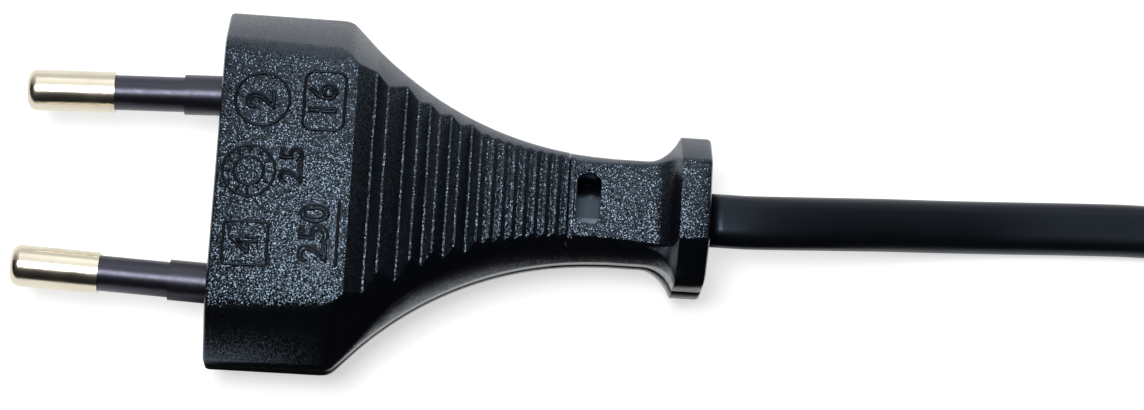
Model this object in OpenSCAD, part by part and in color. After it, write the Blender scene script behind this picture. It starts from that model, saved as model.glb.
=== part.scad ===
// Europlug on a flat two-core lead, in millimetres.
// The origin is the middle of the engagement face. X runs along the plug towards the lead,
// Y across the two pins, Z up from the surface that the plug lies on.

/* [Head] */
// Width of the head across the two pins
head_w = 35; // [34.6:0.1:36]
// Thickness at the engagement face
face_t = 13; // [12.6:0.1:13.6]
// Thickness at the thickest rib and at the end flange
body_t = 15; // [14.6:0.1:15.4]
// Half height of the upright band along the parting line
band_side = 1.2; // [0.8:0.1:1.4]
// Half height up to which the head's sides are nearly upright
head_side = 1.8; // [1.7:0.1:2.2]
// How far a flank goes out for each millimetre that it goes down
flank_run = 0.9; // [0.85:0.01:1]
// How far a nearly upright side goes out for each millimetre that it goes down
side_run = 0.25; // [0.15:0.01:0.3]
// Radius between the head's flat top and its flanks
head_edge_r = 2.4; // [1:0.1:3]
// Size of the rounded rim round the engagement face and the rear face
rim_r = 0.4; // [0.2:0.1:0.6]

/* [Grip] */
// Radius of the concave sides of the grip, seen from above
waist_r = 33; // [32:0.5:36]
// Distance of the waist from the engagement face
waist_x = 37.8; // [37:0.1:38.2]
// Width of the waist
waist_w = 10.3; // [9.8:0.1:11]
// Half height up to which the grip's sides are nearly upright
grip_side = 4.9; // [4.4:0.1:5]
// Radius of the hollow top of the grip, seen from the side
top_r = 120; // [110:5:140]
// Lowest place of the hollow top from the engagement face
top_low_x = 40.6; // [40:0.1:41.2]
// Radius between the grip's top and its flanks
grip_edge_r = 0.4; // [0.2:0.1:0.8]
// Radius between a flank and its upright side
side_r = 1.2; // [0.8:0.1:1.5]

/* [Ribs] */
// Where the head's flat top ends
flat_end = 12.9; // [12.5:0.1:13.2]
// Crest of the first rib
rib_x = 15.9; // [15.6:0.1:16.2]
// Distance from the first rib to the second
first_pitch = 3; // [2.8:0.1:3.2]
// Distance between the other coarse ribs
rib_pitch = 2.03; // [1.8:0.01:2.2]
// Number of coarse ribs
rib_count = 5; // [3:1:5]
// Depth of the first two grooves
deep_groove = 1.2; // [0.8:0.1:1.4]
// Depth of the other coarse grooves
groove = 0.75; // [0.4:0.05:0.9]
// Length of the steep side of the first two ribs
deep_rise = 1.15; // [0.9:0.05:1.3]
// Length of the steep side of the other coarse ribs
rise = 0.85; // [0.6:0.05:1]
// Width of a coarse rib's crest
crest = 0.2; // [0.1:0.05:0.3]
// Width of a coarse groove's floor
groove_floor = 0.2; // [0.1:0.05:0.3]
// Plain land after the last coarse rib
rib_land = 1.12; // [1:0.01:1.4]
// Distance between the fine ribs
fine_pitch = 1.035; // [0.8:0.005:1.04]
// Number of fine ribs
fine_count = 8; // [4:1:8]
// Depth of the fine grooves
fine_groove = 0.3; // [0.1:0.05:0.4]
// Width of a fine rib's crest
fine_crest = 0.25; // [0.1:0.05:0.4]

/* [Neck] */
// Start of the neck's plain top
neck_x = 34.2; // [34.1:0.1:34.3]
// Half thickness of the neck at its start
neck_h = 5.1; // [4.9:0.1:5.3]
// Half thickness of the neck where it meets the flange's ramp
neck_end_h = 4.7; // [4.6:0.1:4.9]
// Half height up to which the neck's and the flange's sides are nearly upright
neck_side = 4.1; // [3.8:0.1:4.2]
// Depth of the smooth strip between the fine ribs and the neck
strip_depth = 0.25; // [0.1:0.05:0.4]
// Length of the window over the lead, across the neck
window_w = 5.2; // [4.6:0.1:5.4]
// Width of the window over the lead, along the neck
window_l = 2.3; // [1.8:0.1:2.6]
// Middle of the window from the engagement face
window_x = 35.55; // [35.4:0.05:36.5]

/* [Flange] */
// Rear face of the flange from the engagement face
body_l = 47.1; // [46.6:0.1:48]
// Thickness of the flange along the lead
flange_l = 2.9; // [2.4:0.1:3.2]
// Width of the flange
flange_w = 14.8; // [13.8:0.1:15.4]
// Half height of the upright band on the flange's sides
flange_band = 2.8; // [2.4:0.1:3.2]
// Radius of the flare from the neck's sides to the flange
flare_r = 3; // [2.4:0.1:3.2]
// Radius of the ramp from the neck's top to the flange
ramp_r = 2.9; // [2.7:0.05:3]

/* [Pins] */
// Diameter of a pin
pin_d = 4; // [3.9:0.02:4.1]
// Length of a pin from the engagement face
pin_l = 19; // [18.5:0.1:19.5]
// Distance between the pins' axes at the engagement face
pin_pitch = 18.8; // [18:0.1:19.2]
// Distance between the pins' axes at their tips
tip_pitch = 17.5; // [17:0.1:18]
// Radius round a pin's tip
tip_r = 0.9; // [0.5:0.1:1.2]
// Diameter of a pin's shank inside its sleeve
shank_d = 2.7; // [2.4:0.1:2.9]
// Diameter of the ring that anchors a pin in the bridge
anchor_d = 4.2; // [3.6:0.1:4.6]
// Length of the anchor ring
anchor_l = 1.2; // [0.8:0.1:1.6]
// Length of the crimp barrel behind the bridge
crimp_l = 4.5; // [3.5:0.1:5]
// Outer diameter of the crimp barrel
crimp_d = 2.6; // [2.2:0.1:2.9]
// Depth of the crimp barrel's bore
crimp_bore_l = 3.8; // [3:0.1:3.8]

/* [Sleeves] */
// Diameter of a sleeve
sleeve_d = 3.4; // [3.3:0.05:3.6]
// Length of a sleeve from the engagement face
sleeve_l = 10.6; // [10:0.1:11]
// Diameter of the sleeve's collar
collar_d = 3.9; // [3.7:0.05:3.95]
// Length of the collar in front of the engagement face
collar_l = 3.9; // [3:0.1:4.5]

// Width of the relief round a collar in the engagement face
relief_w = 0.25; // [0.2:0.05:0.4]
// Depth of the relief
relief_l = 0.5; // [0.3:0.1:0.8]

/* [Bridge] */
// Depth of the bridge behind the engagement face
bridge_x = 2; // [1.6:0.1:3]
// Length of the bridge along the pins
bridge_l = 6; // [5:0.1:6.5]
// Diameter of the bridge's two barrels
barrel_d = 7.2; // [6:0.1:8]
// Thickness of the web between the barrels
web_t = 3.6; // [3:0.1:4.5]

/* [Lead] */
// Width of the flat sheath
cord_w = 5.3; // [5:0.1:5.5]
// Thickness of the flat sheath
cord_t = 3.3; // [3.1:0.1:3.5]
// Diameter of an insulated core
core_d = 2.1; // [1.9:0.1:2.2]
// Diameter of a core's copper strands
strand_d = 1.1; // [0.9:0.1:1.3]
// Where the sheath ends inside the plug
sheath_x = 31; // [29:0.5:32]

/* [Hank] */
// Radius of the innermost fold, to the middle of the lead
fold_r = 15.9; // [15.9:0.1:17]
// Straight length of the hank's runs
hank_run = 88; // [80:1:100]
// Runs beside each other
hank_columns = 2; // [2:1:3]
// Distance between runs beside each other
column_pitch = 3.6; // [3.5:0.1:3.8]
// Layers on top of each other
hank_layers = 3; // [2:1:3]
// Distance between layers
layer_pitch = 5.4; // [5.3:0.1:5.6]
// Radius inside the bends of a cable tie
tie_bend_r = 0.6; // [0.4:0.1:1]
// Width of a cable tie
tie_w = 2.6; // [2:0.1:4]
// Thickness of a cable tie
tie_t = 0.9; // [0.7:0.1:1.2]
// Side of a cable tie's head
tie_head = 4.4; // [3.6:0.1:5]
// Height of a cable tie's head
tie_head_h = 3.3; // [2.6:0.1:3.6]

/* [Free end] */
// Length of the bared cores
tail_core_l = 16; // [12:1:20]
// Angle between the two bared cores, in degrees
tail_spread = 14; // [12:1:20]
// Length of a ferrule's collar
ferrule_collar_l = 6; // [5:0.5:7]
// Length of the collar that grips the core's insulation
ferrule_grip_l = 4; // [3:0.5:4.5]
// Diameter of a ferrule's metal tube
ferrule_d = 1.5; // [1.3:0.1:1.7]
// Length of the metal tube in front of the collar
ferrule_l = 8; // [6:0.5:10]

/* [Fits] */
// Clearance round what the moulding encloses
fit = 0.02; // [0.01:0.01:0.04]
// Clearance between a cable tie and the hank
tie_fit = 0.1; // [0.08:0.01:0.15]

/* [Hidden] */

$fn = 48;
LEFT = 1;
RIGHT = -1;

// Steps of the rounded edges, of the flare and of the bent cores
arc_steps = 2;
fade_steps = 5;
flare_steps = 7;
core_steps = 14;
core_sides = 10;
cord_sides = 12;

// How far a cutting shape reaches past what it cuts
over = 1;

// Softness of the corners between the head, the grip and the flange, seen from above
corner_soft = 0.6;
// Length over which the wide radius of the head's edges narrows before the ribs
edge_fade_l = 2;
// Share of the rim's radius at which its middle section lies
rim_middle = 0.3;
// Length of the steep end of the smooth strip before the neck
strip_step = 0.08;
// How far the web between the barrels stays back from their end faces
web_inset = 0.5;

BLACK = [0.1, 0.1, 0.12];
DARK_GREY = [0.2, 0.2, 0.22];
LIGHT_GREY = [0.6, 0.6, 0.62];
BROWN = [0.35, 0.18, 0.1];
BLUE = [0.1, 0.3, 0.65];
NICKEL = [0.8, 0.78, 0.72];
COPPER = [0.8, 0.45, 0.25];

// The surface that the plug and its lead lie on
floor_z = -body_t / 2;
cord_rest_z = floor_z + cord_t / 2;

// A pin leans towards the middle by this angle
pin_lean = atan((pin_pitch - tip_pitch) / 2 / pin_l);
anchor_x = bridge_x + (bridge_l - anchor_l) / 2;
crimp_end = bridge_x + bridge_l + crimp_l;

// Places along the grip
thick_x = rib_x + first_pitch;
last_rib_x = thick_x + (rib_count - 2) * rib_pitch;
fine_x = last_rib_x + rib_land;
last_fine_x = fine_x + (fine_count - 1) * fine_pitch;
flange_x = body_l - flange_l;
flare_x = flange_x - flare_r;
ramp_x = flange_x - ramp_r;
strip_x = last_fine_x + fine_pitch / 3;

// The hank lies in line with the plug, and rests on its ties. Its place is the middle of its near fold
hank_x = 128;
hank_y = 3.6;
hank_z = floor_z + tie_t + tie_fit;
hank_h = (hank_layers - 1) * layer_pitch + cord_w;
outer_fold_r = fold_r + (hank_columns - 1) * column_pitch;
hank_in_r = fold_r - column_pitch / 2;
hank_out_r = outer_fold_r + column_pitch / 2;
low_run_z = hank_z + cord_w / 2;
top_run_z = low_run_z + (hank_layers - 1) * layer_pitch;
// Length of the room for the tail in the top layer
tail_notch_l = hank_run / 2 - 4;

// Route of the lead from the flange to the hank: place, and turn of its flat side in degrees
cord_route = [
    [body_l, 0, 0, 0],
    [51, 0, 0, 0],
    [55, 0.2, -0.5, 0],
    [60, 0.7, -1.7, 0],
    [65, 1.2, -3.1, 0],
    [70, 1.8, -4.3, 0],
    [75, 2.2, cord_rest_z + 0.1, 0],
    [80, 2.5, cord_rest_z, 0],
    [86, 2.8, cord_rest_z, 0],
    [92, 2.9, cord_rest_z, 0],
    [97, 2.6, cord_rest_z + 0.1, 12],
    [102, 1.1, cord_rest_z + 0.5, 32],
    [106.5, -1.5, cord_rest_z + 1.2, 58],
    [110, -4.8, low_run_z - 0.1, 80],
    for (a = [-142, -129, -116, -103, -90])
        [hank_x + outer_fold_r * cos(a), hank_y + outer_fold_r * sin(a), low_run_z, 90]
];

// Route of the lead from the top of the hank to its stripped end, on the table inside the hank
tail_x = hank_x + hank_run;
tail_route = [
    [tail_x, hank_y + fold_r, top_run_z, 90],
    [tail_x - 7, hank_y + fold_r, top_run_z, 90],
    [tail_x - 14, hank_y + 14.8, top_run_z, 88],
    [tail_x - 21, hank_y + 12.1, 6, 78],
    [tail_x - 28, hank_y + 8.8, 4.1, 62],
    [tail_x - 35, hank_y + 5.5, 1.3, 43],
    [tail_x - 42, hank_y + 2.8, -1.6, 25],
    [tail_x - 49, hank_y + 1, -4, 11],
    [tail_x - 56, hank_y + 0.2, -5.5, 3],
    [tail_x - 62, hank_y, cord_rest_z, 0],
    [tail_x - 68, hank_y, cord_rest_z, 0]
];
tail_end = tail_route[len(tail_route) - 1];

function mix(a, b, t) = a + (b - a) * t;
function ease(t) = let (c = min(1, max(0, t))) c * c * (3 - 2 * c);
function soft_min(a, b) = (a + b - sqrt(pow(a - b, 2) + pow(corner_soft, 2))) / 2;
function arc_rise(d, r) = let (c = min(r, max(0, d))) r - sqrt(r * r - c * c);
function unit(v) = v / norm(v);

// Half width of the moulding at its parting plane
function side_half(x) = x < waist_x
    ? soft_min(head_w / 2, waist_w / 2 + arc_rise(waist_x - x, waist_r))
    : soft_min(flange_w / 2, waist_w / 2 + arc_rise(x - flare_x, flare_r));

// Half height of the upright band along the parting line
function band_height(x) = mix(band_side, flange_band, ease((x - flare_x) / flare_r));

// Half height up to which the side is nearly upright
function side_height(x) = x < strip_x
    ? mix(head_side, grip_side, ease((x - flat_end) / (thick_x - flat_end)))
    : neck_side;

// Half thickness at the crests of the ribs, and on the neck up to the flange
function crest_height(x) = x < thick_x
    ? mix(face_t / 2, body_t / 2, min(1, x / rib_x))
    : body_t / 2 - arc_rise(top_low_x - thick_x, top_r) + arc_rise(top_low_x - x, top_r);
function neck_height(x) = min(
    body_t / 2,
    mix(neck_h, neck_end_h, min(1, (x - neck_x) / (ramp_x - neck_x))) + arc_rise(x - ramp_x, ramp_r)
);

// Radius between top and flanks: wide on the head, crisp on the ribs
function edge_radius(x) = mix(grip_edge_r, head_edge_r, ease((flat_end - x) / edge_fade_l));

// Points round a corner between two edge directions
function corner(p, from, to, r) =
    let (
        turn = acos(max(-1, min(1, from * to))),
        back = r * tan(turn / 2),
        start = p - from * back,
        centre = start + [-from[1], from[0]] * r
    )
    [
        for (i = [0 : arc_steps])
            let (a = turn * i / arc_steps)
            centre + [
                (start - centre)[0] * cos(a) - (start - centre)[1] * sin(a),
                (start - centre)[0] * sin(a) + (start - centre)[1] * cos(a)
            ]
    ];

// One quarter of the section at x, from the parting band to the edge of the flat top
function quarter(x, top, inset) =
    let (
        h = top - inset,
        band = [side_half(x) - inset, band_height(x)],
        side = band + [-side_run, 1] * (side_height(x) - band[1]),
        edge = side + [-flank_run, 1] * (h - side[1]),
        upright = unit([-side_run, 1]),
        flank = unit([-flank_run, 1])
    )
    concat(
        [band],
        corner(side, upright, flank, side_r),
        corner(edge, flank, [-1, 0], edge_radius(x))
    );

function backwards(list) = [for (i = [len(list) - 1 : -1 : 0]) list[i]];

// The whole section at x, as a ring of points
function section(x, top, inset) =
    let (
        q = quarter(x, top, inset),
        ring = concat(
            q,
            [for (p = backwards(q)) [-p[0], p[1]]],
            [for (p = q) [-p[0], -p[1]]],
            [for (p = backwards(q)) [p[0], -p[1]]]
        )
    )
    [for (p = ring) [x, p[0], p[1]]];

function rib_crest(i) = i == 0 ? rib_x : rib_x + first_pitch + (i - 1) * rib_pitch;
function rib_rise(i) = i < 2 ? deep_rise : rise;
function rib_groove(i) = i < 2 ? deep_groove : groove;

// Sections along the moulding: place, half thickness, and how far the rim is rounded back
head_stations = [
    [0, crest_height(0), rim_r],
    [rim_r * rim_middle, crest_height(rim_r * rim_middle), rim_r * rim_middle],
    [rim_r, crest_height(rim_r), 0],
    for (i = [0 : fade_steps])
        let (x = flat_end - edge_fade_l * (1 - i / fade_steps))
        [x, crest_height(x), 0]
];
rib_stations = [
    for (i = [0 : rib_count - 1])
        let (x = rib_crest(i), low = x - rib_rise(i))
        each [
            [low - groove_floor, crest_height(low) - rib_groove(i), 0],
            [low, crest_height(low) - rib_groove(i), 0],
            [x - crest / 2, crest_height(x), 0],
            [x + crest / 2, crest_height(x), 0]
        ]
];
fine_stations = [
    for (i = [0 : fine_count - 1])
        let (x = fine_x + i * fine_pitch, low = x - fine_pitch / 2)
        each [
            [low, crest_height(low) - fine_groove, 0],
            [x - fine_crest / 2, crest_height(x), 0],
            [x + fine_crest / 2, crest_height(x), 0]
        ]
];
neck_stations = [
    [strip_x, neck_h - strip_depth, 0],
    [neck_x - strip_step, neck_h - strip_depth, 0],
    [neck_x, neck_h, 0],
    for (x = [waist_x - 2, waist_x, mix(waist_x, flare_x, 0.5)])
        [x, neck_height(x), 0],
    for (i = [0 : flare_steps])
        let (x = mix(flare_x, flange_x, i / flare_steps))
        [x, neck_height(x), 0]
];
flange_stations = [
    [body_l - rim_r, body_t / 2, 0],
    [body_l - rim_r * rim_middle, body_t / 2, rim_r * rim_middle],
    [body_l, body_t / 2, rim_r]
];
stations = concat(head_stations, rib_stations, fine_stations, neck_stations, flange_stations);

// Solid through a list of rings that all have the same number of points
module loft(rings) {
    n = len(rings[0]);
    last = len(rings) - 1;
    sides = [
        for (i = [0 : last - 1], j = [0 : n - 1])
            let (a = i * n + j, b = i * n + (j + 1) % n)
            each [[a, a + n, b + n], [a, b + n, b]]
    ];
    start = [for (j = [0 : n - 1]) j];
    end = [for (j = [n - 1 : -1 : 0]) last * n + j];
    polyhedron(points = [for (r = rings) each r], faces = concat([start], sides, [end]));
}

// Direction of a route at one of its points
function heading(route, i) =
    let (
        last = len(route) - 1,
        a = route[max(0, i - 1)],
        b = route[min(last, i + 1)]
    )
    (i == 0 || i == last) ? [sign(b[0] - a[0]), 0, 0] : unit([b[0] - a[0], b[1] - a[1], b[2] - a[2]]);

// Ring of the flat sheath round one point of a route
function flat_ring(route, i) =
    let (
        p = route[i],
        t = heading(route, i),
        across = unit(cross([0, 0, 1], t)),
        up = cross(t, across),
        side = across * cos(p[3]) + up * sin(p[3]),
        lift = up * cos(p[3]) - across * sin(p[3]),
        half = (cord_w - cord_t) / 2,
        per_side = cord_sides / 2 - 1
    )
    [
        for (k = [0 : cord_sides - 1])
            let (
                s = k <= per_side ? 1 : -1,
                a = (k % (per_side + 1)) * 180 / per_side - 90 + (s < 0 ? 180 : 0)
            )
            [p[0], p[1], p[2]] + side * (s * half + cord_t / 2 * cos(a)) + lift * cord_t / 2 * sin(a)
    ];

module flat_tube(route) {
    loft([for (i = [0 : len(route) - 1]) flat_ring(route, i)]);
}

// Things on a pin's own axis: X runs back into the plug from the engagement face
module on_pin(side) {
    translate([0, side * pin_pitch / 2, 0])
        rotate([0, 0, side * pin_lean])
            children();
}

// Round solid along X between two places
module rod(from, to, d) {
    translate([from, 0, 0])
        rotate([0, 90, 0])
            cylinder(d = d, h = to - from);
}

module pin(side) {
    color(NICKEL)
        on_pin(side)
            difference() {
                union() {
                    rotate([0, -90, 0])
                        rotate_extrude()
                            pin_tip_profile();
                    rod(-sleeve_l, bridge_x + bridge_l, shank_d);
                    rod(anchor_x, anchor_x + anchor_l, anchor_d);
                    rod(bridge_x + bridge_l, crimp_end, crimp_d);
                }
                rod(crimp_end - crimp_bore_l, crimp_end + over, strand_d + 2 * fit);
            }
}

// Half outline of the bare end of a pin, with its rounded tip
module pin_tip_profile() {
    difference() {
        translate([0, sleeve_l])
            square([pin_d / 2, pin_l - sleeve_l]);
        translate([pin_d / 2 - tip_r, pin_l - tip_r])
            difference() {
                square(tip_r + over);
                circle(r = tip_r);
            }
    }
}

// Outside of a sleeve with its collar, up to the bridge
module sleeve_outside(side, gap) {
    on_pin(side) {
        rod(-sleeve_l, -collar_l, sleeve_d);
        rod(-collar_l, bridge_x, collar_d + 2 * gap);
    }
}

module sleeve(side) {
    color(BLACK)
        difference() {
            sleeve_outside(side, 0);
            on_pin(side)
                rod(-sleeve_l - over, bridge_x + over, shank_d + 2 * fit);
        }
}

module bridge_outside(gap) {
    for (side = [LEFT, RIGHT])
        on_pin(side)
            rod(bridge_x - gap, bridge_x + bridge_l + gap, barrel_d + 2 * gap);
    translate([bridge_x + web_inset - gap, -pin_pitch / 2, -web_t / 2 - gap])
        cube([bridge_l - 2 * web_inset + 2 * gap, pin_pitch, web_t + 2 * gap]);
}

module pin_bridge() {
    color(DARK_GREY)
        difference() {
            bridge_outside(0);
            for (side = [LEFT, RIGHT])
                on_pin(side) {
                    rod(bridge_x - over, bridge_x + bridge_l + over, shank_d + 2 * fit);
                    rod(anchor_x - fit, anchor_x + anchor_l + fit, anchor_d + 2 * fit);
                }
        }
}

// Stripped copper in the crimp barrel
module strands(side) {
    color(COPPER)
        on_pin(side)
            rod(crimp_end - crimp_bore_l, crimp_end, strand_d);
}

// Middle line of a bent core, from the crimp barrel to the sheath
function core_start(side) = [
    crimp_end * cos(pin_lean),
    side * (pin_pitch / 2 + crimp_end * sin(pin_lean)),
    0
];
function core_point(side, t) =
    let (
        a = core_start(side),
        b = [sheath_x, side * (cord_w - cord_t) / 2, 0],
        pull = (sheath_x - crimp_end) * 0.5,
        a2 = a + [cos(pin_lean), side * sin(pin_lean), 0] * pull,
        b2 = b - [pull, 0, 0],
        s = 1 - t
    )
    a * (s * s * s) + a2 * (3 * s * s * t) + b2 * (3 * s * t * t) + b * (t * t * t);

module core_shape(side, gap) {
    r = core_d / 2 + gap;
    rings = [
        for (i = [0 : core_steps])
            let (
                p = core_point(side, i / core_steps),
                t = i == 0 ? [cos(pin_lean), side * sin(pin_lean), 0]
                    : i == core_steps ? [1, 0, 0]
                    : unit(core_point(side, (i + 0.5) / core_steps) - core_point(side, (i - 0.5) / core_steps)),
                across = cross([0, 0, 1], t)
            )
            [
                for (k = [0 : core_sides - 1])
                    let (a = 360 * k / core_sides)
                    p + across * r * cos(a) + [0, 0, 1] * r * sin(a)
            ]
    ];
    loft(rings);
}

module core(side) {
    color(side == LEFT ? BROWN : BLUE)
        core_shape(side, 0);
}

// Flat sheath as a straight solid between two places along X
module flat_bar(from, to, w, t) {
    translate([from, -(w - t) / 2, -t / 2])
        cube([to - from, w - t, t]);
    for (side = [LEFT, RIGHT])
        translate([0, side * (w - t) / 2, 0])
            rod(from, to, t);
}

// Sheath of the lead inside the plug
module sheath_end() {
    color(BLACK)
        flat_bar(sheath_x, body_l, cord_w, cord_t);
}

// Lead from the flange to the hank
module cord() {
    color(BLACK)
        flat_tube(cord_route);
}

// Lead from the hank to its stripped end
module cord_tail() {
    color(BLACK)
        flat_tube(tail_route);
}

// Window over the lead, rounded at both ends, cut from above and from below
module window() {
    linear_extrude(body_t, center = true) {
        translate([window_x - window_l / 2, -(window_w - window_l) / 2])
            square([window_l, window_w - window_l]);
        for (side = [LEFT, RIGHT])
            translate([window_x, side * (window_w - window_l) / 2])
                circle(d = window_l);
    }
}

module plug_body() {
    color(BLACK)
        difference() {
            loft([for (s = stations) section(s[0], s[1], s[2])]);
            window();
            bridge_outside(fit);
            flat_bar(sheath_x - fit, body_l + over, cord_w + 2 * fit, cord_t + 2 * fit);
            for (side = [LEFT, RIGHT]) {
                sleeve_outside(side, fit);
                on_pin(side) {
                    rod(-over, relief_l, collar_d + 2 * relief_w);
                    rod(bridge_x + bridge_l, crimp_end + fit, crimp_d + 2 * fit);
                }
                core_shape(side, fit);
            }
        }
}

// Outline of the hank at a distance from the middle line of its folds
module stadium(r) {
    hank_middle = hank_run / 2;
    translate([hank_middle, 0])
        square([hank_run, 2 * r], center = true);
    for (x = [0, hank_run])
        translate([x, 0])
            circle(r = r);
}

module cord_hank() {
    color(BLACK)
        translate([hank_x, hank_y, hank_z])
            difference() {
                linear_extrude(hank_h)
                    difference() {
                        stadium(hank_out_r);
                        stadium(hank_in_r);
                    }
                entry_notch();
                tail_notch();
            }
}

// Room in the lowest layer for the lead that comes in round the near fold
module entry_notch() {
    high = cord_w + tie_fit;
    translate([0, 0, -over])
        difference() {
            translate([-hank_out_r - over, -hank_out_r - over, 0])
                cube([hank_out_r + over, hank_out_r + over, high + over]);
            cylinder(r = outer_fold_r - column_pitch / 2 - tie_fit, h = high + over);
        }
}

// Room in the top layer for the lead that leaves inwards
module tail_notch() {
    low = top_run_z - cord_w / 2 - tie_fit - hank_z;
    translate([hank_run - tail_notch_l, hank_in_r - over, low])
        cube([tail_notch_l, column_pitch + over, hank_h]);
}

// Rectangle with round corners, from its lower left corner
module rounded_square(w, h, r) {
    translate([r, 0])
        square([w - 2 * r, h]);
    translate([0, r])
        square([w, h - 2 * r]);
    for (x = [r, w - r], y = [r, h - r])
        translate([x, y])
            circle(r = r);
}

// A closed cable tie round one side of the hank, on the side that the angle gives
module cable_tie(angle) {
    inner_w = hank_columns * column_pitch + 2 * tie_fit;
    inner_h = hank_h + 2 * tie_fit;
    color(DARK_GREY)
        translate([hank_x + hank_run / 2, hank_y, hank_z - tie_fit])
            rotate([0, 0, angle])
                translate([hank_in_r - tie_fit, tie_w / 2, 0])
                    rotate([90, 0, 0]) {
                        linear_extrude(tie_w)
                            difference() {
                                translate([-tie_t, -tie_t])
                                    rounded_square(inner_w + 2 * tie_t, inner_h + 2 * tie_t, tie_bend_r + tie_t);
                                rounded_square(inner_w, inner_h, tie_bend_r);
                            }
                        translate([(inner_w - tie_head) / 2, inner_h + tie_t / 2, (tie_w - tie_head) / 2])
                            cube([tie_head, tie_head_h, tie_head]);
                    }
}

// Things on a bared core's axis: X runs away from the sheath's end
module on_tail(side) {
    translate([tail_end[0], tail_end[1] + side * (cord_w - cord_t) / 2, tail_end[2]])
        rotate([0, 0, 180 - side * tail_spread / 2])
            children();
}

module tail_core(side) {
    color(side == LEFT ? BROWN : BLUE)
        difference() {
            on_tail(side)
                rod(-over, tail_core_l, core_d);
            translate([tail_end[0], tail_end[1] - cord_w, tail_end[2] - cord_w])
                cube(2 * cord_w);
        }
}

// Plastic collar of a ferrule, over the end of the core and the start of the metal tube
module ferrule_collar(side) {
    color(LIGHT_GREY)
        on_tail(side)
            difference() {
                rod(tail_core_l - ferrule_grip_l, tail_core_l - ferrule_grip_l + ferrule_collar_l, cord_t);
                rod(tail_core_l - ferrule_grip_l - over, tail_core_l + fit, core_d + 2 * fit);
                rod(tail_core_l, tail_core_l + ferrule_collar_l, ferrule_d + 2 * fit);
            }
}

module ferrule_tube(side) {
    color(NICKEL)
        on_tail(side)
            rod(tail_core_l + fit, tail_core_l - ferrule_grip_l + ferrule_collar_l + ferrule_l, ferrule_d);
}

plug_body();
pin_bridge();
pin(LEFT);  // pin_left
pin(RIGHT);  // pin_right
sleeve(LEFT);  // sleeve_left
sleeve(RIGHT);  // sleeve_right
strands(LEFT);  // strands_brown
strands(RIGHT);  // strands_blue
core(LEFT);  // core_brown
core(RIGHT);  // core_blue
sheath_end();
cord();
cord_hank();
cable_tie(-90);  // cable_tie_near
cable_tie(90);  // cable_tie_far
cord_tail();
tail_core(LEFT);  // tail_core_brown
tail_core(RIGHT);  // tail_core_blue
ferrule_collar(LEFT);  // ferrule_collar_brown
ferrule_collar(RIGHT);  // ferrule_collar_blue
ferrule_tube(LEFT);  // ferrule_tube_brown
ferrule_tube(RIGHT);  // ferrule_tube_blue
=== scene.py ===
import math

import bmesh
import bpy
from mathutils import Euler, Matrix, Vector


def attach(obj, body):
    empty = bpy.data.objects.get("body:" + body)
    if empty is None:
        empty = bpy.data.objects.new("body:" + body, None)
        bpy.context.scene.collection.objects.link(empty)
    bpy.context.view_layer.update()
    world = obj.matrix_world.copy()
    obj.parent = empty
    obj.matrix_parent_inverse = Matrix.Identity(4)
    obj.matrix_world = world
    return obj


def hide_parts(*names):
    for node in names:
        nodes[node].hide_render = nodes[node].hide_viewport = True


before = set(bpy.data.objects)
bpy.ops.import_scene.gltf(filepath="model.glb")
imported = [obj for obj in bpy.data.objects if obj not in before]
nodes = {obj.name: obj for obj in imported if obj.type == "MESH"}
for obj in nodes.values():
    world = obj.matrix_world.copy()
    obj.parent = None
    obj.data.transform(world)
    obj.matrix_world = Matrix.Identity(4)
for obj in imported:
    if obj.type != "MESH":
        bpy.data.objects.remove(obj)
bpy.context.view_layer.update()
scene = bpy.context.scene


# Camera. A long lens looks almost straight down on the plug, a little from the side of
# the lower pin, as in the photograph.
MM = 0.001
sensor_mm = 36.0
lens_mm = 104.752
nearest_mm = 10
camera_place = (0.021876, -0.084884, 0.310429)
camera_turn = (15.259, -3.0733, 2.9349)
camera_data = bpy.data.cameras.new("camera")
camera_data.sensor_width = sensor_mm
camera_data.lens = lens_mm
camera_data.clip_start = nearest_mm * MM
camera = bpy.data.objects.new("camera", camera_data)
camera.location = camera_place
camera.rotation_euler = Euler([math.radians(angle) for angle in camera_turn], "XYZ")
scene.collection.objects.link(camera)
scene.camera = camera
scene.view_settings.view_transform = "Standard"


# Lead. Two stranded cores in a flat smooth PVC sheath, moulded into the end flange. It
# comes down to the table, and what the photograph does not show is folded on edge into a
# tied hank of two columns and three layers, with the stripped end inside it.
exit_x = 47.1
sheath_w = 5.3
sheath_t = 3.3
floor_z = -7.5
rest_z = floor_z + sheath_t / 2
tie_gap = 1.0
low_z = floor_z + tie_gap + sheath_w / 2
layer_pitch = 5.4
top_z = low_z + 2 * layer_pitch
hank_x = 128.0
hank_y = 3.6
run_l = 88.0
outer_r = 19.5
inner_r = 15.9
on_edge = 90
finer = 2
run_steps = 12
edge_sides = 8


def ease(t):
    t = min(1.0, max(0.0, t))
    return t * t * (3 - 2 * t)


def smooth_route(route, between):
    """More points on one smooth curve through the points of a route."""
    curve = []
    last = len(route) - 1
    for i in range(last):
        a, b, c, d = (route[k] for k in (max(0, i - 1), i, i + 1, min(last, i + 2)))
        for k in range(between):
            t = k / between
            curve.append(tuple(
                0.5 * (2 * q + (r - p) * t + (2 * p - 5 * q + 4 * r - u) * t * t
                       + (3 * q - p - 3 * r + u) * t * t * t)
                for p, q, r, u in zip(a, b, c, d)))
    curve.append(route[last])
    return curve


def fold_point(at_x, turn_r, angle, z):
    a = math.radians(angle)
    return at_x + turn_r * math.cos(a), hank_y + turn_r * math.sin(a), z, on_edge


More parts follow.
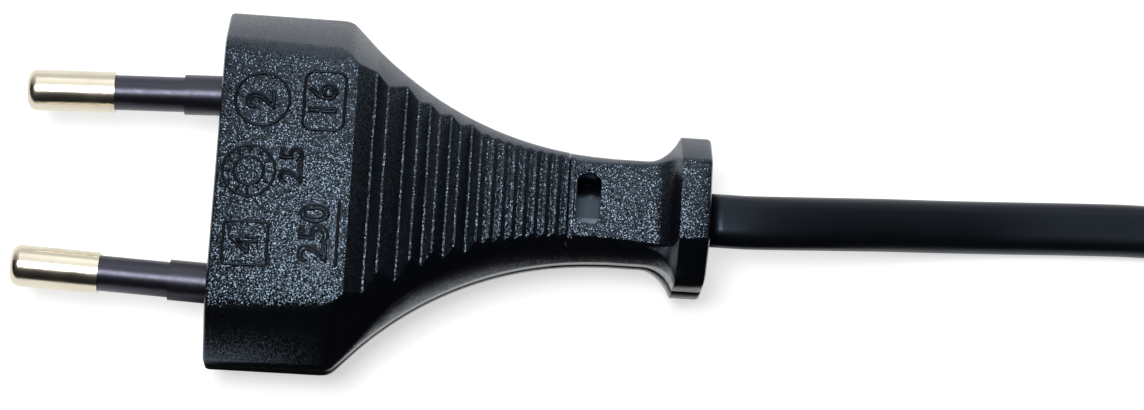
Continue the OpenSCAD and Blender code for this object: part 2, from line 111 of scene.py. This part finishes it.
# Each point: its place, and the turn of the flat side in degrees
lead_route = [
    (exit_x, 0, 0, 0), (51, 0, -0.05, 0), (55, 0.31, -0.57, 0), (60, 0.85, -1.69, 0),
    (65, 1.46, -3.07, 0), (70, 2.0, -4.41, 0), (75, 2.46, -5.36, 0),
    (80, 2.82, rest_z + 0.03, 0), (86, 3.1, rest_z, 0), (92, 3.25, rest_z, 0),
    (97, 2.8, rest_z + 0.23, 12), (102, 1.2, rest_z + 0.6, 32),
    (106.5, -1.5, rest_z + 1.2, 58), (110, -4.8, low_z - 0.1, 80),
]
for angle in (-142, -129, -116, -103):
    lead_route.append(fold_point(hank_x, outer_r, angle, low_z))
lead_route = smooth_route(lead_route, finer)

# Each run: its side, then the radius and the layer at its start, its middle and its end
runs = [
    (-1, (outer_r, 0), (outer_r, 0), (outer_r, 0)),
    (1, (outer_r, 0), (outer_r, 0), (inner_r, 0)),
    (-1, (inner_r, 0), (inner_r, 0), (inner_r, 0)),
    (1, (inner_r, 0), (inner_r, 1), (inner_r, 1)),
    (-1, (inner_r, 1), (inner_r, 1), (outer_r, 1)),
    (1, (outer_r, 1), (outer_r, 1), (outer_r, 1)),
    (-1, (outer_r, 1), (outer_r, 2), (outer_r, 2)),
    (1, (outer_r, 2), (outer_r, 2), (inner_r, 2)),
    (-1, (inner_r, 2), (inner_r, 2), (inner_r, 2)),
]
for side, start, middle, end in runs:
    for i in range(run_steps + 1):
        t = i / run_steps
        one, other, share = (start, middle, 2 * t) if t < 0.5 else (middle, end, 2 * t - 1)
        turn_r, layer = (a + (b - a) * ease(share) for a, b in zip(one, other))
        along = run_l * (t if side < 0 else 1 - t)
        lead_route.append((hank_x + along, hank_y + side * turn_r,
                           low_z + layer * layer_pitch, on_edge))
    fold_x = hank_x + (run_l if side < 0 else 0)
    for i in range(1, run_steps):
        angle = (-90 if side < 0 else 90) + 180 * i / run_steps
        lead_route.append(fold_point(fold_x, end[0], angle, low_z + end[1] * layer_pitch))

# The tail, as its way back from the last fold and aside, lies down flat inside the hank
tail_x = hank_x + run_l
tail_route = [
    (0, inner_r, top_z, on_edge), (7, inner_r, top_z, on_edge), (14, 14.8, top_z, 88),
    (21, 12.1, 6, 78), (28, 8.8, 4.1, 62), (35, 5.5, 1.3, 43), (42, 2.8, -1.6, 25),
    (49, 1, -4, 11), (56, 0.2, -5.5, 3), (62, 0, rest_z, 0), (68, 0, rest_z, 0),
]
lead_route += smooth_route(
    [(tail_x - back, hank_y + aside, z, turn) for back, aside, z, turn in tail_route], finer)


def finished_piece(name, work):
    mesh = bpy.data.meshes.new(name)
    work.to_mesh(mesh)
    work.free()
    mesh.shade_smooth()
    piece = bpy.data.objects.new(name, mesh)
    scene.collection.objects.link(piece)
    return piece


def sweep_flat(name, route, width, thickness):
    """A flat sheath with round edges, swept along a route in millimetres."""
    edge_r = thickness / 2
    flat_half = width / 2 - edge_r
    outline = []
    for side in (1, -1):
        for k in range(edge_sides + 1):
            a = math.radians(180 * k / edge_sides - 90)
            outline.append((side * (flat_half + edge_r * math.cos(a)),
                            side * edge_r * math.sin(a)))
    work = bmesh.new()
    places = [Vector(point[:3]) for point in route]
    last = len(places) - 1
    verts, rim = [], []
    for i, place in enumerate(places):
        ahead = (places[min(i + 1, last)] - places[max(i - 1, 0)]).normalized()
        if i in (0, last):
            ahead = Vector((1 if ahead.x > 0 else -1, 0, 0))
        across = Vector((0, 0, 1)).cross(ahead).normalized()
        up = ahead.cross(across)
        turn = math.radians(route[i][3])
        wide = across * math.cos(turn) + up * math.sin(turn)
        high = up * math.cos(turn) - across * math.sin(turn)
        spots = [(place + wide * u + high * v) * MM for u, v in outline]
        if i == 0:
            verts = [work.verts.new(spot) for spot in spots]
            rim = [work.edges.new(pair) for pair in zip(verts, verts[1:] + verts[:1])]
            work.faces.new(verts[::-1])
            continue
        made = bmesh.ops.extrude_edge_only(work, edges=rim)["geom"]
        rim = [part for part in made if isinstance(part, bmesh.types.BMEdge)]
        fresh = [part for part in made if isinstance(part, bmesh.types.BMVert)]
        next_vert = {}
        for vert in fresh:
            for edge in vert.link_edges:
                if edge.other_vert(vert) not in fresh:
                    next_vert[edge.other_vert(vert)] = vert
        verts = [next_vert[vert] for vert in verts]
        for vert, spot in zip(verts, spots):
            vert.co = spot
    work.faces.new(verts)
    bmesh.ops.recalc_face_normals(work, faces=work.faces)
    return finished_piece(name, work)


def material(name, colour, roughness):
    made = bpy.data.materials.new(name)
    made.use_nodes = True
    shader = made.node_tree.nodes["Principled BSDF"]
    shader.inputs["Base Color"].default_value = (*colour, 1)
    shader.inputs["Roughness"].default_value = roughness
    return made, made.node_tree, shader


def sheen(shader, strength, tint):
    shader.inputs["Specular IOR Level"].default_value = strength
    shader.inputs["Specular Tint"].default_value = (*tint, 1)


def object_noise(tree, per_metre, detail):
    place = tree.nodes.new("ShaderNodeTexCoord")
    noise = tree.nodes.new("ShaderNodeTexNoise")
    noise.inputs["Scale"].default_value = per_metre
    noise.inputs["Detail"].default_value = detail
    tree.links.new(place.outputs["Object"], noise.inputs["Vector"])
    return noise.outputs["Fac"]


def add_bump(tree, shader, height, strength, depth):
    bump = tree.nodes.new("ShaderNodeBump")
    bump.inputs["Strength"].default_value = strength
    bump.inputs["Distance"].default_value = depth * MM
    tree.links.new(height, bump.inputs["Height"])
    tree.links.new(bump.outputs["Normal"], shader.inputs["Normal"])
    return bump.outputs["Normal"]


def drift(tree, noise, target, low, high):
    """Lets a value or a colour of the shader drift with a noise between two ends."""
    ends = tree.nodes.new("ShaderNodeValToRGB")
    ends.color_ramp.elements[0].position = 0.3
    ends.color_ramp.elements[1].position = 0.7
    for element, end in zip(ends.color_ramp.elements, (low, high)):
        element.color = (*end, 1) if isinstance(end, tuple) else (end, end, end, 1)
    tree.links.new(noise, ends.inputs["Fac"])
    tree.links.new(ends.outputs["Color"], target)


def give(names, finish):
    for name in names:
        nodes[name].data.materials.clear()
        nodes[name].data.materials.append(finish)


black_pvc = (0.002, 0.0024, 0.0036)
cold_sheen = (0.6, 0.78, 1.0)
lead = sweep_flat("lead_sheath", lead_route, sheath_w, sheath_t)
sheath_pvc, tree, shader = material("sheath_pvc", black_pvc, 0.34)
sheen(shader, 0.36, cold_sheen)
waves = object_noise(tree, 900, 3.0)
add_bump(tree, shader, waves, 0.1, 0.1)
drift(tree, object_noise(tree, 160, 2.0), shader.inputs["Roughness"], 0.31, 0.37)
lead.data.materials.append(sheath_pvc)
# The end in the window was pressed against the mould and is glossier than the rest
window_pvc = sheath_pvc.copy()
window_pvc.name = "window_pvc"
sheen(window_pvc.node_tree.nodes["Principled BSDF"], 0.75, cold_sheen)
give(["sheath_end"], window_pvc)
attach(lead, "root")
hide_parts("cord", "cord_hank", "cord_tail")


# Moulded body. One black PVC moulding, shot round the pins and the end of the lead in a
# mould with spark-eroded flat faces and polished sides. It has finger ribs, a slim neck
# and a flange, and a fine seam where the halves of the mould met.
weld = 0.001
flat_within = 0.5
crisp_over = 26
smooth_under = 30
edge_round = 0.045
rounded_x = (0.5, 46.9)
seam_half = 0.09
seam_depth = 0.07
seam_x = (0.2, 46.9)
seam_beyond_y = 4.5
cut_reach = 0.0001


def inside(x, limits):
    return limits[0] * MM < x < limits[1] * MM


work = bmesh.new()
work.from_mesh(nodes["plug_body"].data)
bmesh.ops.remove_doubles(work, verts=work.verts, dist=weld * MM)
work.normal_update()
bmesh.ops.dissolve_limit(work, angle_limit=math.radians(flat_within),
                         verts=work.verts, edges=work.edges)
crisp = [edge for edge in work.edges
         if len(edge.link_faces) == 2 and edge.calc_face_angle(0) > math.radians(crisp_over)
         and inside((edge.verts[0].co.x + edge.verts[1].co.x) / 2, rounded_x)]
bmesh.ops.bevel(work, geom=crisp, offset=edge_round * MM, offset_type="OFFSET", segments=2,
                profile=0.5, affect="EDGES", material=-1, clamp_overlap=True)
bmesh.ops.triangulate(work, faces=[face for face in work.faces if len(face.verts) > 4])
work.normal_update()
for z in (-seam_half, 0.0, seam_half):
    bmesh.ops.bisect_plane(work, geom=work.verts[:] + work.edges[:] + work.faces[:],
                           dist=cut_reach * MM, plane_co=(0, 0, z * MM), plane_no=(0, 0, 1))
for vert in work.verts:
    on_seam = abs(vert.co.z) < weld * MM and inside(vert.co.x, seam_x)
    on_flank = abs(vert.co.y) > seam_beyond_y * MM and abs(vert.normal.y) > 0.5
    if on_seam and on_flank and vert.co.y * vert.normal.y > 0:
        vert.co -= vert.normal * seam_depth * MM
body = finished_piece("moulded_body", work)
body.data.set_sharp_from_angle(angle=math.radians(smooth_under))
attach(body, "root")
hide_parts("plug_body")


def reckon(tree, kind, operation, *sources):
    """The result of a math node whose sources are other results or plain values."""
    step = tree.nodes.new(kind)
    step.operation = operation
    for socket, source in zip(step.inputs, sources):
        if isinstance(source, bpy.types.NodeSocket):
            tree.links.new(source, socket)
        else:
            socket.default_value = source
    return step.outputs[0]


def graded(tree, value, start, end, low=0.0, high=1.0):
    """Goes from low to high while a value goes from start to end, and no further."""
    step = tree.nodes.new("ShaderNodeMapRange")
    ends = {"From Min": start, "From Max": end, "To Min": low, "To Max": high}
    for name, amount in ends.items():
        step.inputs[name].default_value = amount
    tree.links.new(value, step.inputs["Value"])
    return step.outputs[0]


def split(tree, vector):
    parts = tree.nodes.new("ShaderNodeSeparateXYZ")
    tree.links.new(vector, parts.inputs[0])
    return parts.outputs


VECTORS = "ShaderNodeVectorMath"
NUMBERS = "ShaderNodeMath"
facets_per_metre = 14000
facet_tilt = 0.5
steeper_tilt = 0.8
flank_grain = 0.22
grain_fades_over = (0.72, 0.97)
# The grain is a field of tiny facets, each tilted its own way, so that it glitters
grained_pvc, tree, shader = material("grained_pvc", black_pvc, 0.18)
sheen(shader, 0.8, cold_sheen)
place = tree.nodes.new("ShaderNodeTexCoord")
cells = tree.nodes.new("ShaderNodeTexVoronoi")
cells.inputs["Scale"].default_value = facets_per_metre
tree.links.new(place.outputs["Object"], cells.inputs["Vector"])
lean = reckon(tree, VECTORS, "SUBTRACT", cells.outputs["Color"], (0.5, 0.5, 0.5))
squared = reckon(tree, VECTORS, "MULTIPLY", lean, lean)
steep = reckon(tree, VECTORS, "MULTIPLY_ADD", squared, (steeper_tilt,) * 3, (facet_tilt,) * 3)
tilt = reckon(tree, VECTORS, "MULTIPLY", lean, steep)
# The sides were polished in the mould, so the facets fade as the surface turns down
shape = tree.nodes.new("ShaderNodeNewGeometry")
flatness = reckon(tree, NUMBERS, "ABSOLUTE", split(tree, shape.outputs["Normal"])["Z"])
grain = graded(tree, flatness, *grain_fades_over, flank_grain)
faded = reckon(tree, VECTORS, "MULTIPLY", tilt, grain)
pits = add_bump(tree, shader, object_noise(tree, 9000, 2.0), 0.3, 0.01)
facet = reckon(tree, VECTORS, "ADD", pits, faded)
tree.links.new(reckon(tree, VECTORS, "NORMALIZE", facet), shader.inputs["Normal"])
body.data.materials.append(grained_pvc)


# Marks on the head. Thin raised lines that the mould leaves on the head's flat face:
# numbers, frames and a ring with twelve ticks, as moulded parts have for cavity, size
# and month. They are the body's own PVC, without the grain.
line_r = 0.145
face_z = 6.5
face_rise = 1.0
face_l = 15.9
face_slope = math.atan(face_rise / face_l)
smooth_pvc, tree, shader = material("smooth_pvc", (0.0015, 0.0018, 0.0026), 0.34)
sheen(shader, 0.24, cold_sheen)
wear = object_noise(tree, 2200, 3.0)
add_bump(tree, shader, wear, 0.25, 0.03)


def raised_lines(name, drawing, x, y, turn=0):
    """Rounds the lines of a flat drawing and lays them on the sloping face."""
    drawing.bevel_depth = line_r * MM
    drawing.bevel_resolution = 2
    drawn = bpy.data.objects.new(name + "_lines", drawing)
    scene.collection.objects.link(drawn)
    bpy.context.view_layer.update()
    ready = drawn.evaluated_get(bpy.context.evaluated_depsgraph_get())
    mesh = bpy.data.meshes.new_from_object(ready)
    bpy.data.objects.remove(drawn)
    place = Vector((x, y, face_z + x * math.tan(face_slope))) * MM
    mesh.transform(Matrix.Translation(place) @ Matrix.Rotation(-face_slope, 4, "Y")
                   @ Matrix.Rotation(math.radians(turn), 4, "Z"))
    mesh.name = name
    mesh.shade_smooth()
    mesh.materials.clear()
    mesh.materials.append(smooth_pvc)
    piece = bpy.data.objects.new(name, mesh)
    scene.collection.objects.link(piece)
    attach(piece, "root")


def number_lines(digits, height):
    drawing = bpy.data.curves.new("number", "FONT")
    drawing.body = digits
    drawing.size = height * MM
    drawing.align_x = "CENTER"
    drawing.align_y = "CENTER"
    drawing.fill_mode = "NONE"
    drawing.resolution_u = 4
    return drawing


def outline_lines(*outlines):
    drawing = bpy.data.curves.new("outline", "CURVE")
    drawing.dimensions = "3D"
    for points, closed in outlines:
        line = drawing.splines.new("POLY")
        line.points.add(len(points) - 1)
        for spot, (x, y) in zip(line.points, points):
            spot.co = (x * MM, y * MM, 0, 1)
        line.use_cyclic_u = closed
    return drawing


def on_circle(r, angle):
    a = math.radians(angle)
    return r * math.cos(a), r * math.sin(a)


def ring(r, sides=40):
    return [on_circle(r, 360 * i / sides) for i in range(sides)], True


def rounded_frame(width, height, corner):
    points = []
    for right, above, start in ((1, 1, 0), (-1, 1, 90), (-1, -1, 180), (1, -1, 270)):
        for step in range(4):
            x, y = on_circle(corner, start + 30 * step)
            points.append((right * (width / 2 - corner) + x, above * (height / 2 - corner) + y))
    return points, True


ticks = [([on_circle(1.75, 30 * i), on_circle(2.25, 30 * i)], False) for i in range(12)]
bar = [(0, -3.2), (0, 3.2)], False
raised_lines("mark_ring", outline_lines(ring(2.6)), 4.0, 7.3)
raised_lines("mark_ring_number", number_lines("2", 3.8), 4.0, 7.3, 90)
raised_lines("mark_frame", outline_lines(rounded_frame(3.9, 5.8, 0.8)), 9.9, 7.4)
raised_lines("mark_frame_number", number_lines("16", 3.6), 9.9, 7.4, 90)
raised_lines("mark_months", outline_lines(ring(1.4), ring(2.5), *ticks), 3.2, 0.2)
raised_lines("mark_size_number", number_lines("2.5", 3.0), 7.3, 1.0, 90)
raised_lines("mark_square", outline_lines(rounded_frame(4.2, 4.2, 0.3)), 3.4, -6.9)
raised_lines("mark_square_number", number_lines("4", 3.6), 3.4, -6.9, 90)
raised_lines("mark_long_number", number_lines("250", 3.8), 9.9, -5.6, 90)
raised_lines("mark_bar", outline_lines(bar), 12.0, -5.6)


# Pins and sleeves. Turned brass pins with a nickel plate, held in the moulding. A hard
# black sleeve covers the half of each next to the face and has a thicker collar there.
nickel_plate, tree, shader = material("nickel_plate", (0.65, 0.6, 0.49), 0.22)
shader.inputs["Metallic"].default_value = 1.0
scratches = object_noise(tree, 1500, 3.0)
add_bump(tree, shader, scratches, 0.15, 0.03)
wear = object_noise(tree, 420, 3.0)
drift(tree, wear, shader.inputs["Base Color"], (0.68, 0.63, 0.51), (0.62, 0.57, 0.47))
drift(tree, wear, shader.inputs["Roughness"], 0.19, 0.26)
give(["pin_left", "pin_right"], nickel_plate)
sleeve_black, tree, shader = material("sleeve_black", (0.003, 0.003, 0.005), 0.34)
sheen(shader, 0.8, (0.75, 0.76, 1.0))
skin = object_noise(tree, 2200, 2.0)
add_bump(tree, shader, skin, 0.25, 0.03)
drift(tree, skin, shader.inputs["Roughness"], 0.31, 0.38)
give(["sleeve_left", "sleeve_right"], sleeve_black)


# Inner parts, ties and ferrules. A grey plastic bridge holds the pins, and the copper
# strands are crimped to them. The brown and blue cores come out of the sheath again at
# the far end, each in a crimped ferrule with a collar, and two nylon ties hold the hank.
bridge = (0.2, 0.2, 0.22), (0.14, 0.14, 0.16)
copper = (0.72, 0.35, 0.18), (0.5, 0.22, 0.1)
brown = (0.11, 0.045, 0.02), (0.085, 0.033, 0.015)
blue = (0.025, 0.11, 0.36), (0.02, 0.085, 0.3)
collar = (0.5, 0.5, 0.52), (0.42, 0.42, 0.45)
tinned = (0.68, 0.68, 0.66), (0.55, 0.55, 0.54)
nylon = (0.012, 0.012, 0.014), (0.02, 0.02, 0.023)
for names, (colour, shade), roughness, metallic, per_metre in (
    (("pin_bridge",), bridge, 0.5, 0, 700),
    (("strands_brown", "strands_blue"), copper, 0.35, 1, 2400),
    (("core_brown", "tail_core_brown"), brown, 0.38, 0, 500),
    (("core_blue", "tail_core_blue"), blue, 0.38, 0, 500),
    (("ferrule_collar_brown", "ferrule_collar_blue"), collar, 0.42, 0, 600),
    (("ferrule_tube_brown", "ferrule_tube_blue"), tinned, 0.28, 1, 1300),
    (("cable_tie_near", "cable_tie_far"), nylon, 0.4, 0, 300),
):
    finish, tree, shader = material(names[0] + "_finish", colour, roughness)
    shader.inputs["Metallic"].default_value = metallic
    noise = object_noise(tree, per_metre, 3.0)
    drift(tree, noise, shader.inputs["Base Color"], shade, colour)
    drift(tree, noise, shader.inputs["Roughness"], roughness - 0.05, roughness + 0.06)
    add_bump(tree, shader, noise, 0.2, 0.05)
    give(names, finish)


# Table and light. A white table under a small lamp almost straight above and a broad
# white screen that leans in from the far side. The near side of the room is dark, and near
# the plug the table carries a painted dark reflection that darkens the plug's black flanks.
table_half = 1.5
table_x = 0.05
work = bmesh.new()
bmesh.ops.create_grid(work, x_segments=1, y_segments=1, size=table_half)
bmesh.ops.translate(work, verts=work.verts, vec=(table_x, 0, floor_z * MM))
table = finished_piece("table", work)
white_table, tree, shader = material("white_table", (0.95, 0.95, 0.95), 0.9)
shader.inputs["Specular IOR Level"].default_value = 0.0
rays = tree.nodes.new("ShaderNodeLightPath")
glossy = rays.outputs["Is Glossy Ray"]


def emission(tree, grey, strength):
    glow = tree.nodes.new("ShaderNodeEmission")
    glow.inputs["Color"].default_value = (grey, grey, grey, 1)
    glow.inputs["Strength"].default_value = strength
    return glow.outputs[0]


def blend(tree, share, one, other):
    mix = tree.nodes.new("ShaderNodeMixShader")
    for socket, source in zip(mix.inputs, (share, one, other)):
        tree.links.new(source, socket)
    return mix.outputs[0]


# The camera and all gloss see the table partly glow, so it is white and keeps its shadow
glow_strength = 1.68
glow_share = 0.36
seen = reckon(tree, NUMBERS, "MAXIMUM", rays.outputs["Is Camera Ray"], glossy)
white = blend(tree, reckon(tree, NUMBERS, "MULTIPLY", seen, glow_share),
              shader.outputs[0], emission(tree, 1, glow_strength))
# Gloss also sees a painted dark reflection on the near side, a black patch of painted shade.
# Beside the head it starts under the flank, and past the head it keeps a few millimetres
# off the outline, which narrows to the neck.
painted_dark_depth = 0.99
spot = tree.nodes.new("ShaderNodeTexCoord")
across = split(tree, spot.outputs["Object"])
x, y = across["X"], across["Y"]
past_face = graded(tree, x, -10 * MM, -1 * MM)
head_painted_dark = reckon(tree, NUMBERS, "MULTIPLY", graded(tree, y, -6 * MM, -12 * MM),
                   graded(tree, x, 15 * MM, 12 * MM))
outline_y = graded(tree, x, 14 * MM, 34 * MM, 16.8 * MM, 6.4 * MM)
neck_painted_dark = graded(tree, reckon(tree, NUMBERS, "ADD", y, outline_y), 0, -4 * MM)
painted_dark_patch = reckon(tree, NUMBERS, "MULTIPLY",
              reckon(tree, NUMBERS, "MAXIMUM", head_painted_dark, neck_painted_dark), past_face)
# Only glossy rays see this black patch: a painted dark reflection in the plug's flanks
glossy_painted_dark = reckon(tree, NUMBERS, "MULTIPLY", painted_dark_patch, glossy)
dark = blend(tree, reckon(tree, NUMBERS, "MULTIPLY", glossy_painted_dark, painted_dark_depth),
             white, emission(tree, 0, 1))
tree.links.new(dark, tree.nodes["Material Output"].inputs["Surface"])
table.data.materials.append(white_table)


def soft_box(name, place, width, depth, radiance):
    """A flat lamp, of an even radiance, that faces the middle of the plug."""
    light = bpy.data.lights.new(name, "AREA")
    light.shape = "RECTANGLE"
    light.size, light.size_y = width, depth
    light.energy = radiance * math.pi * width * depth
    lamp = bpy.data.objects.new(name, light)
    lamp.location = place
    ahead = Vector((0.02, 0, 0)) - Vector(place)
    lamp.rotation_euler = ahead.to_track_quat("-Z", "Y").to_euler()
    scene.collection.objects.link(lamp)


soft_box("lamp_above", (-0.1, -0.06, 0.7), 0.24, 0.24, 19.5)
soft_box("far_screen", (0.0, 0.38, 0.62), 0.44, 0.75, 0.99)

# The room is bright towards the far side and dim above. The camera sees it white.
unlit = 0.008
room = bpy.data.worlds.new("room")
room.use_nodes = True
scene.world = room
tree = room.node_tree
around = tree.nodes.new("ShaderNodeTexCoord")
towards = split(tree, around.outputs["Generated"])
far_side = graded(tree, towards["Y"], 0.2, 0.9, unlit, 0.9)
ceiling = graded(tree, towards["Z"], 0.25, 0.8, unlit, 0.035)
rays = tree.nodes.new("ShaderNodeLightPath")
strength = tree.nodes.new("ShaderNodeMix")
strength.data_type = "FLOAT"
tree.links.new(rays.outputs["Is Camera Ray"], strength.inputs["Factor"])
tree.links.new(reckon(tree, NUMBERS, "MAXIMUM", far_side, ceiling), strength.inputs["A"])
strength.inputs["B"].default_value = 1.0
tree.nodes["Background"].inputs["Color"].default_value = (1, 1, 1, 1)
tree.links.new(strength.outputs[0], tree.nodes["Background"].inputs["Strength"])
